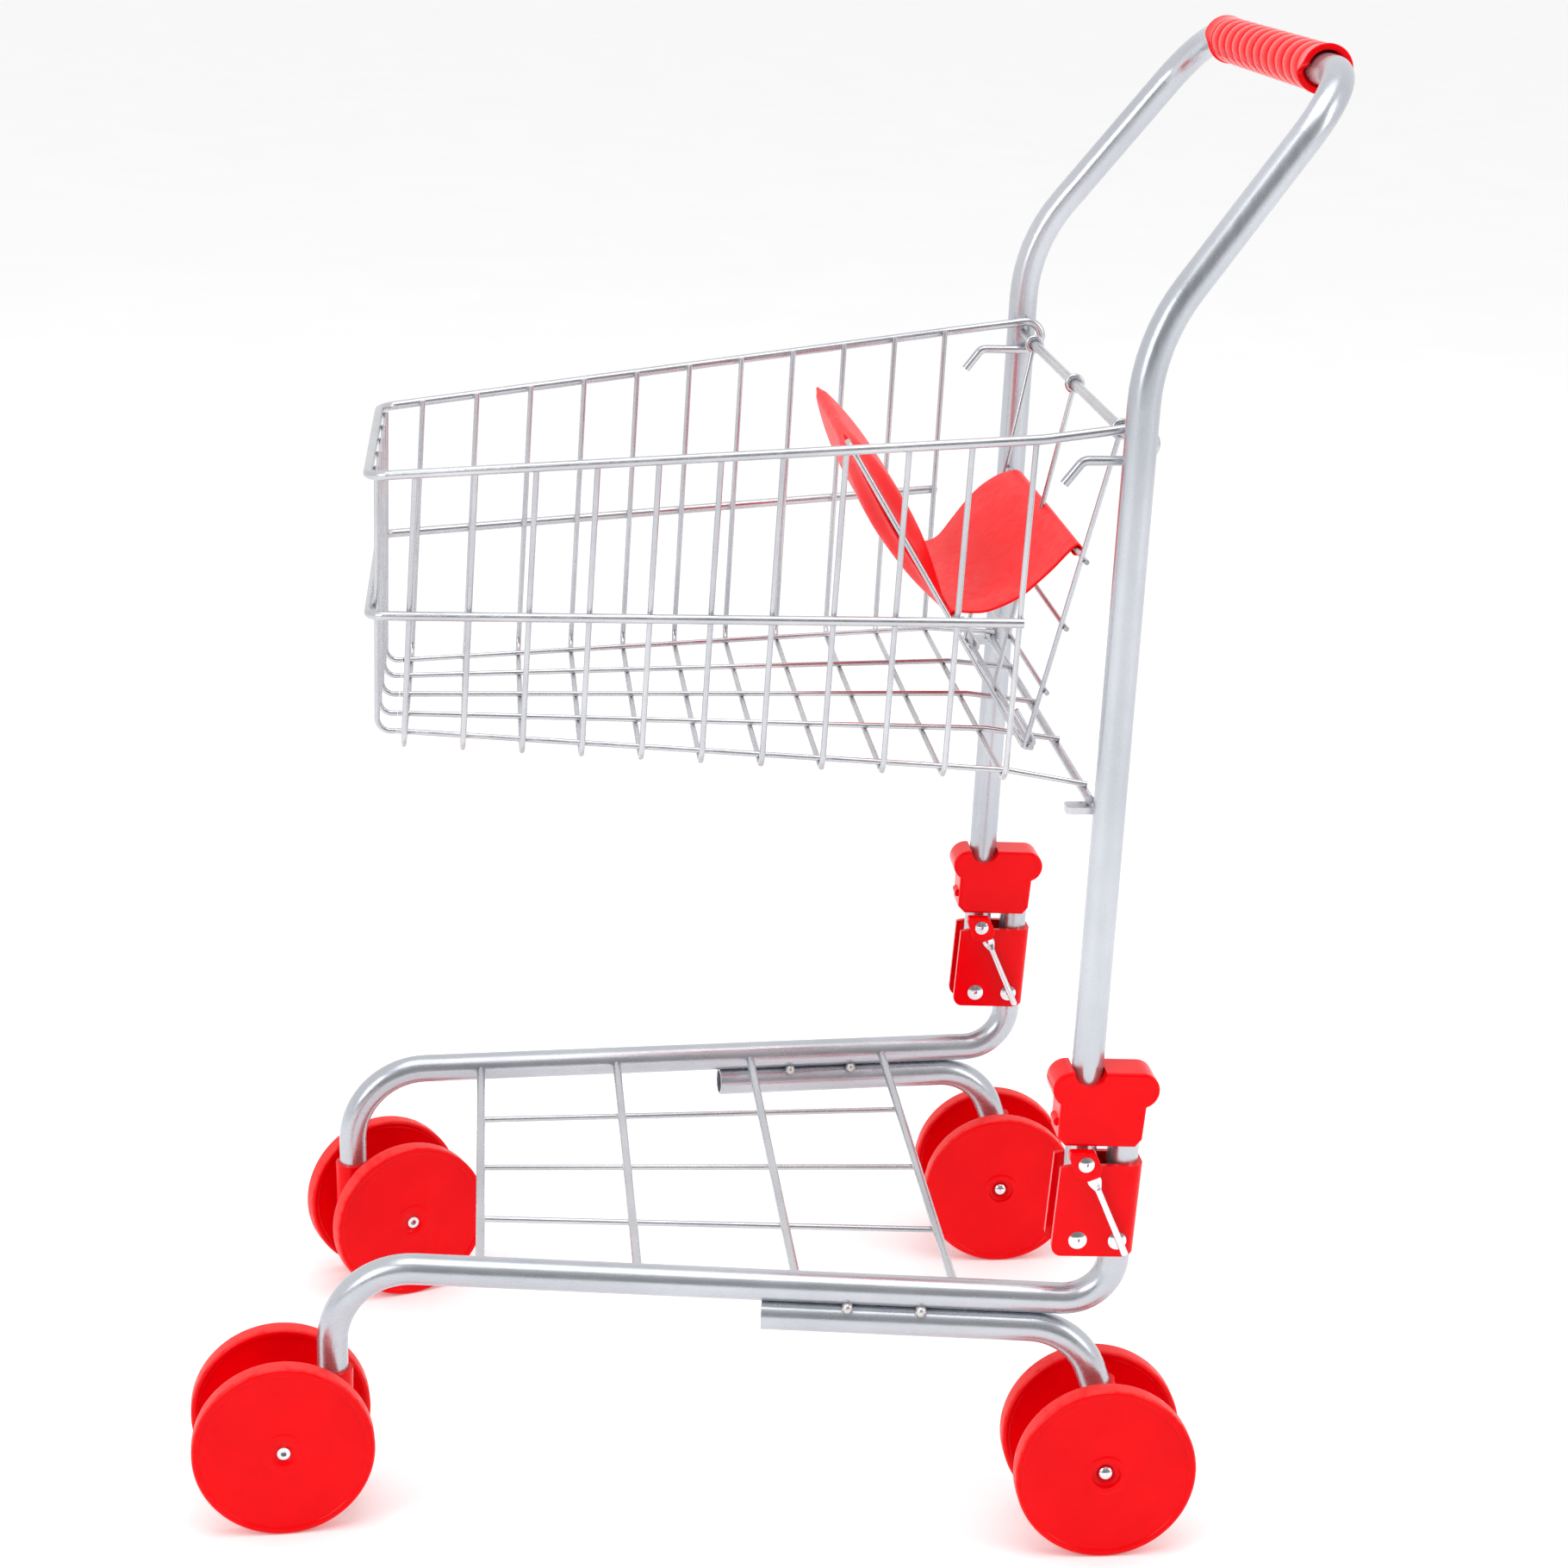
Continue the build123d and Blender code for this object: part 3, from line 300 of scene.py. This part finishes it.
def disc_outline(recessed):
    """Section of a disc in mm, (along the axle, radius, corner radius); a rear disc's hub has a recess."""
    if recessed:
        hub = [(19.75, BORE_R, 0), (19.75, RECESS_R, 0.3), (21.85, RECESS_R, 0.5), (21.85, HUB_R, 0.6)]
    else:
        hub = [(21.75, BORE_R, 0), (21.75, HUB_R, 0.6)]
    face = [(21.45, 8.3, 0.6), (20.72, 31.9, 0.5), (21.35, 32.5, 0.35), (OUTER, RIM_R - 0.9, 0.3)]
    tread = [(OUTER - 0.9, RIM_R, 0.5), (INNER + 0.9, RIM_R, 0.5), (INNER, RIM_R - 0.9, 0.5)]
    inside = [(INNER, 32.6, 0.3), (INNER + 0.6, 32.0, 0.5), (INNER + 0.6, 12.6, 0.5), (INNER, 12.0, 0.4)]
    return rounded([(INNER, BORE_R, 0), *hub, *face, *tread, *inside])


def disc_wear(radius):
    """Wear is on the running surface and a little at the rim's corners."""
    return max(0.0, min(1.0, (radius - WORN_FROM) / WORN_OVER))


def make_disc(label, joint, outward, recessed):
    centre, axis = Vector(joint["pos_m"]), Vector(joint["axis"]).normalized()
    end = f"{label}_{'plus_x' if outward > 0 else 'minus_x'}"
    low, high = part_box(f"wheel_{end}")
    if ((low + high) / 2 - centre).dot(axis) < 0:
        axis = -axis
    up = Vector((0, 0, 1))
    across = up.cross(axis)
    turned = Matrix((axis, across, up)).transposed().to_4x4()
    outline = disc_outline(recessed)
    points, faces = lathe(outline, DISC_SEGMENTS)
    made = piece(f"disc_{end}", points, faces, WHEEL_PLASTIC, joint["child"],
                 Matrix.Translation(centre) @ turned, (f"wheel_{end}",))
    set_wear(made, [disc_wear(radius) for _ in range(DISC_SEGMENTS) for _, radius in outline])


for side_name in SIDES:
    for position in (1, -1):
        make_disc(f"front_{side_name}", JOINTS[f"front_wheel_spin_{side_name}"], position, False)
        make_disc(f"rear_{side_name}", JOINTS[f"rear_wheel_spin_{side_name}"], position, True)


# Push bar grip: ribs with rounded crests, and a flared collar at each end, cut away where the tube bends off

GRIP_LOW, GRIP_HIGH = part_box("handle_grip")
GRIP_MIDDLE = (GRIP_LOW + GRIP_HIGH) / 2
GRIP_HALF = (GRIP_HIGH.x - GRIP_LOW.x) / 2 / MM
COLLAR, RIBS = 11.0, 12
COLLAR_R, FLARE, VALLEY_R, RIB_HEIGHT = 8.7, 0.85, 7.95, 1.15
GRIP_BORE_R, MOUTH_R = 6.03, 7.1
BEND_DIRECTION = atan2(-91, -70)
SCOOP_HALF_TURN, SCOOP_FADE, SCOOP_SHARE = radians(72), radians(34), 0.86


def grip_radius(along):
    """Outer radius of the grip at a distance from its middle, in mm."""
    from_end = GRIP_HALF - abs(along)
    if from_end < COLLAR:
        flare = FLARE * (1 - from_end / COLLAR) ** 2
        return COLLAR_R + flare
    share = (abs(along) / (GRIP_HALF - COLLAR) * RIBS / 2) % 1
    crest = abs(sin(pi * share)) ** 0.45
    return VALLEY_R + RIB_HEIGHT * crest


def make_grip():
    steps = 420
    outer = []
    for step in range(steps + 1):
        along = -GRIP_HALF + 2 * GRIP_HALF * step / steps
        edge = min(1.0, (GRIP_HALF - abs(along)) / 0.5)
        outer.append((along, grip_radius(along) - 0.5 * (1 - sqrt(max(0.0, 1 - (1 - edge) ** 2)))))
    inner = [(GRIP_HALF - 0.05, MOUTH_R + 0.3), (GRIP_HALF - 0.6, MOUTH_R), (GRIP_HALF - 9.0, MOUTH_R)]
    inner += [(GRIP_HALF - 9.6, GRIP_BORE_R), (-GRIP_HALF + 9.6, GRIP_BORE_R), (-GRIP_HALF + 9.0, MOUTH_R)]
    inner += [(-GRIP_HALF + 0.6, MOUTH_R), (-GRIP_HALF + 0.05, MOUTH_R + 0.3)]

    def scooped(point, angle, radius):
        turn = abs((angle - BEND_DIRECTION + pi) % (2 * pi) - pi)
        open_share = max(0.0, min(1.0, (SCOOP_HALF_TURN - turn) / SCOOP_FADE))
        open_share = open_share * open_share * (3 - 2 * open_share)
        start = GRIP_HALF - COLLAR + 1.0
        beyond = abs(point.x) - start
        if beyond > 0 and open_share > 0:
            point.x = (start + beyond * (1 - SCOOP_SHARE * open_share)) * (1 if point.x > 0 else -1)
        return point

    points, faces = lathe(outer + inner, 96, scooped)
    piece("grip_moulding", points, faces, RED_PLASTIC, "upper_frame",
          Matrix.Translation(GRIP_MIDDLE), ("handle_grip",))


make_grip()


# Doll seat: a vinyl pouch over the seat wire, and a vinyl seat slung from its cross wire to the gate's
# top wire.
# Points are in metres, and other lengths in mm.

ROD = Vector(JOINTS["seat_back_fold"]["pos_m"])
SEAT_RISE = Vector((0, -68.0, 113.0)) * MM
SEAT_UP = SEAT_RISE.normalized()
SEAT_FRONT = -SEAT_UP.cross(Vector((1, 0, 0)))
WIRE_AHEAD = 2.26
POUCH_LOW, POUCH_TOP, POUCH_HALF = 57.6, SEAT_RISE.length / MM, 60.2
POUCH_FOOT, POUCH_TIP, POUCH_BELLY = 1.2, 2.1, 5.6
POUCH_PINCH, PINCH_FROM = 0.82, 0.72
POUCH_CORNER = 9.0
VINYL = 0.9


def smooth_step(share):
    """0 below 0, 1 above 1, and smooth between."""
    share = min(max(share, 0.0), 1.0)
    return share * share * (3 - 2 * share)


def curve(points, t):
    """A point on a smooth curve through the points, by Catmull-Rom, t from 0 to 1."""
    count = len(points) - 1
    place = min(max(t, 0.0) * count, count - 1e-6)
    index = int(place)
    t = place - index
    p0, p1 = Vector(points[max(index - 1, 0)]), Vector(points[index])
    p2, p3 = Vector(points[index + 1]), Vector(points[min(index + 2, count)])
    square = (2 * p0 - 5 * p1 + 4 * p2 - p3) * t**2
    return (2 * p1 + (p2 - p0) * t + square + (3 * p1 - p0 - 3 * p2 + p3) * t**3) / 2


def sheet_piece(name, surface, across, along, thickness, body=None, replaced=()):
    """A thin sheet with round edges.

    surface(u, v) gives its middle in metres, with u from -1 to 1 and v from 0 to 1.
    """
    rim, small = 4, 1e-3
    points, faces, middles, normals = [], [], [], []
    for j in range(along + 1):
        for i in range(across + 1):
            u, v = -1 + 2 * i / across, j / along
            by_u = surface(min(u + small, 1), v) - surface(max(u - small, -1), v)
            by_v = surface(u, min(v + small, 1)) - surface(u, max(v - small, 0))
            middles.append(surface(u, v))
            normals.append(by_u.cross(by_v).normalized())
    for side in (1, -1):
        points += [m + n * (side * thickness / 2) for m, n in zip(middles, normals)]
    total = len(middles)
    for j in range(along):
        for i in range(across):
            a = j * (across + 1) + i
            b, c, d = a + 1, a + across + 2, a + across + 1
            faces += [(a, b, c, d), (total + a, total + d, total + c, total + b)]
    loop = [i for i in range(across)] + [j * (across + 1) + across for j in range(along)]
    loop += [along * (across + 1) + i for i in range(across, 0, -1)]
    loop += [j * (across + 1) for j in range(along, 0, -1)]
    rings = [loop]
    for step in range(1, rim):
        angle = pi * step / rim
        rings.append([])
        for place, index in enumerate(loop):
            forward = middles[loop[(place + 1) % len(loop)]] - middles[loop[place - 1]]
            outward = forward.cross(normals[index]).normalized()
            lift = normals[index] * cos(angle) + outward * sin(angle)
            rings[-1].append(len(points))
            points.append(middles[index] + lift * (thickness / 2))
    rings.append([total + index for index in loop])
    for first, second in zip(rings, rings[1:]):
        for place in range(len(loop)):
            after = (place + 1) % len(loop)
            faces.append((first[place], second[place], second[after], first[after]))
    return piece(name, points, faces, SEAT_PLASTIC, body, None, replaced)


def pouch_surface(u, v):
    """Front wall up from the foot, over the top wire and down the rear wall.

    The top corners are round, and the walls close up towards the sides.
    """
    turn = 0.06
    side = 1 if v < 0.5 else -1
    share = min(1.0, min(v, 1 - v) / (0.5 - turn))
    height = POUCH_LOW + share * (POUCH_TOP - POUCH_LOW)
    offset = side * (POUCH_FOOT + (POUCH_TIP - POUCH_FOOT) * share + POUCH_BELLY * sin(pi * share) ** 0.9)
    if abs(v - 0.5) < turn:
        angle = (0.5 - v) / turn * pi / 2
        height = POUCH_TOP + POUCH_TIP * cos(angle)
        offset = POUCH_TIP * sin(angle)
    corner, beyond = POUCH_CORNER, height - (POUCH_TOP + POUCH_TIP - POUCH_CORNER)
    half = POUCH_HALF - (corner - sqrt(max(0.0, corner**2 - beyond**2)) if beyond > 0 else 0.0)
    offset *= 1 - POUCH_PINCH * smooth_step((abs(u) - PINCH_FROM) / (1 - PINCH_FROM))
    loose = noise.noise(Vector((u * 2.2, height * 0.045, side * 3.0)))
    offset += (0.55 * loose + 0.35 * u * u) * sin(pi * share)
    point = ROD + Vector((u * half * MM, 0, 0)) + SEAT_UP * (height * MM)
    return point + SEAT_FRONT * ((WIRE_AHEAD + offset) * MM)


CROSS_WIRE = Vector(JOINTS["seat_plate_fold"]["pos_m"])
SLING_HALF_FRONT, SLING_SPREAD, SLING_RUN = 60.5, 12.0, 45
HEM_START = [(0.9, -1.5), (-1.2, -1.0), (-1.2, 1.1), (0.8, 1.7)]
NEAR_LINE = [(6.0, 1.5), (11.8, 2.1), (18.9, 5.2), (25.0, 9.2), (30.0, 14.2), (35.6, 20.3), (40.5, 26.4)]
FAR_LINE = [(6.0, 2.2), (10.5, 4.2), (16.0, 10.8), (21.6, 17.6), (27.9, 23.8), (35.0, 28.2), (40.5, 29.9)]
HEM_END = [(44.1, 30.2), (45.9, 28.8), (45.0, 26.7), (43.2, 26.6)]


def saddle_surface(u, v):
    """The slung seat: its near edge hangs lower than its far edge, and both hems wrap their wires."""
    share = smooth_step((1 - u) / 2)
    near = curve(HEM_START + NEAR_LINE + HEM_END, v)
    far = curve(HEM_START + FAR_LINE + HEM_END, v)
    back, up = near.lerp(far, share)
    inner = sin(pi * min(1.0, max(0.0, (v - 0.2) / 0.6)))
    up += inner * (0.35 * noise.noise(Vector((u * 3.1, v * 2.6, 1.7))) + 0.5 * abs(u) ** 3)
    half = SLING_HALF_FRONT + SLING_SPREAD * min(1.0, max(0.0, (back + 1) / SLING_RUN))
    return CROSS_WIRE + Vector((u * half, back, up)) * MM


pouch = sheet_piece("backrest_pouch", pouch_surface, 72, 120, VINYL * MM, "seat_back", ("backrest",))
saddle = sheet_piece("seat_sling", saddle_surface, 88, 100, VINYL * MM, None, ("seat_plate",))
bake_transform(saddle)


# Lever pins: a flattened spade at the lobe, then a round rod to a domed tip


# Start and tip are (rearward, up along the tube) from the lever's joint, and out is towards +X, all in mm.
LEVER_START, LEVER_TIP, LEVER_OUT = (1.9, -2.9), (18.2, -37.6), 11.25


def make_lever_pin(side_name):
    centre = Vector(JOINTS[f"lever_turn_{side_name}"]["pos_m"])
    along_tube = Vector(JOINTS[f"sleeve_slide_{side_name}"]["axis"])
    rearward = Vector((0, along_tube.z, -along_tube.y))
    start, tip = (centre + (rearward * r + along_tube * a) * MM for r, a in (LEVER_START, LEVER_TIP))
    axis = (tip - start).normalized()
    across = Vector((1, 0, 0)).cross(axis)
    offset = Vector((LEVER_OUT * MM, 0, 0))
    stations = [(0.0, 1.3, 1.0), (3.6, 2.5, 0.75), (5.6, 2.6, 0.75), (8.0, 1.75, 1.15), (10.5, 1.4, 1.4)]
    stations += [(30.0, 1.38, 1.38), (36.8, 1.38, 1.38)]
    stations += [(37.7, 1.15, 1.15), (38.1, 0.7, 0.7), (38.25, 0.15, 0.15)]
    segments, smooth = 28, 5
    lines = [curve(stations, t / (len(stations) * smooth)) for t in range(len(stations) * smooth + 1)]
    points, faces = [], []
    for distance, wide, deep in lines:
        for turn in range(segments):
            angle = 2 * pi * turn / segments
            spread = across * (wide * cos(angle)) + Vector((deep * sin(angle), 0, 0))
            points.append(start + offset + axis * (distance * MM) + spread * MM)
    for row in range(len(lines) - 1):
        for turn in range(segments):
            beyond = (turn + 1) % segments
            a, b = row * segments + turn, row * segments + beyond
            faces.append((a, b, b + segments, a + segments))
    faces.append(tuple(reversed(range(segments))))
    faces.append(tuple(range(len(points) - segments, len(points))))
    piece(f"lever_pin_{side_name}", points, faces, CHROME, f"lever_{side_name}", None,
          (f"lever_rod_{side_name}",))


for side_name in SIDES:
    make_lever_pin(side_name)


# Camera, lights and floor


CAMERA_AT, CAMERA_LENS = (1.2684, -0.0970, 0.6403), 75.26
CAMERA_YAW, CAMERA_PITCH, CAMERA_ROLL = 5.32, 16.42, 1.3
FLOOR_EXTENT, FLOOR_GLOW = 40.0, 0.12
FLOOR_TONES = (0.95, 0.95, 0.95), (0.93, 0.93, 0.935)
OPEN_SIDE_STRENGTH = 0.25


def place_camera():
    yaw, pitch, roll = (radians(angle) for angle in (CAMERA_YAW, CAMERA_PITCH, CAMERA_ROLL))
    forward = Vector((-cos(yaw) * cos(pitch), sin(yaw) * cos(pitch), -sin(pitch)))
    level = forward.cross(Vector((0, 0, 1))).normalized()
    upward = level.cross(forward)
    right = level * cos(roll) + upward * sin(roll)
    top = upward * cos(roll) - level * sin(roll)
    data = bpy.data.cameras.new("camera")
    data.sensor_width, data.lens = 36.0, CAMERA_LENS
    data.clip_start, data.clip_end = 0.05, 50.0
    camera = bpy.data.objects.new("camera", data)
    bpy.context.scene.collection.objects.link(camera)
    turned = Matrix((right, top, -forward)).transposed().to_4x4()
    camera.matrix_world = Matrix.Translation(CAMERA_AT) @ turned
    bpy.context.scene.camera = camera


def add_light(name, at, towards, size, power):
    data = bpy.data.lights.new(name, "AREA")
    data.shape, data.size, data.size_y, data.energy = "RECTANGLE", size[0], size[1], power
    light = bpy.data.objects.new(name, data)
    light.location = at
    light.rotation_euler = (Vector(towards) - Vector(at)).to_track_quat("-Z", "Y").to_euler()
    bpy.context.scene.collection.objects.link(light)


def make_floor():
    extent = FLOOR_EXTENT
    mesh = bpy.data.meshes.new("floor")
    mesh.from_pydata([(-extent, -extent, 0), (extent, -extent, 0), (extent, extent, 0), (-extent, extent, 0)],
                     [], [(0, 1, 2, 3)])
    floor = bpy.data.objects.new("floor", mesh)
    bpy.context.scene.collection.objects.link(floor)
    material, tree, shader, at = start_material("pale_floor", Roughness=1.0, Emission_Strength=FLOOR_GLOW)
    shader.inputs["Emission Color"].default_value = (1, 1, 1, 1)
    shader.inputs["Specular IOR Level"].default_value = 0.0
    grain = texture_noise(tree, at, 6, 4)
    tone = mixed_colour(tree, remap(tree, grain, 0.3, 0.7, 0, 1), *FLOOR_TONES)
    tree.links.new(tone, shader.inputs["Base Color"])
    mesh.materials.append(material)


def light_scene():
    """White surroundings, dimmer towards +X, and three softboxes."""
    world = bpy.data.worlds.new("studio")
    bpy.context.scene.world = world
    world.use_nodes = True
    tree = world.node_tree
    background = tree.nodes["Background"]
    direction = node(tree, "ShaderNodeTexCoord").outputs["Generated"]
    split = node(tree, "ShaderNodeSeparateXYZ")
    tree.links.new(direction, split.inputs["Vector"])
    strength = remap(tree, split.outputs["X"], 0.2, 0.9, 1.0, OPEN_SIDE_STRENGTH)
    tree.links.new(strength, background.inputs["Strength"])
    background.inputs["Color"].default_value = (1.0, 1.0, 1.0, 1)
    middle = (0, 0, 0.3)
    add_light("top", (0.4, -0.1, 2.2), middle, (1.6, 1.6), 16)
    add_light("front_side", (1.5, -1.7, 1.3), middle, (0.8, 1.4), 15)
    add_light("rear_side", (1.1, 1.8, 1.2), middle, (0.5, 1.4), 9)
    bpy.context.scene.view_settings.view_transform = "Standard"


place_camera()
light_scene()
make_floor()
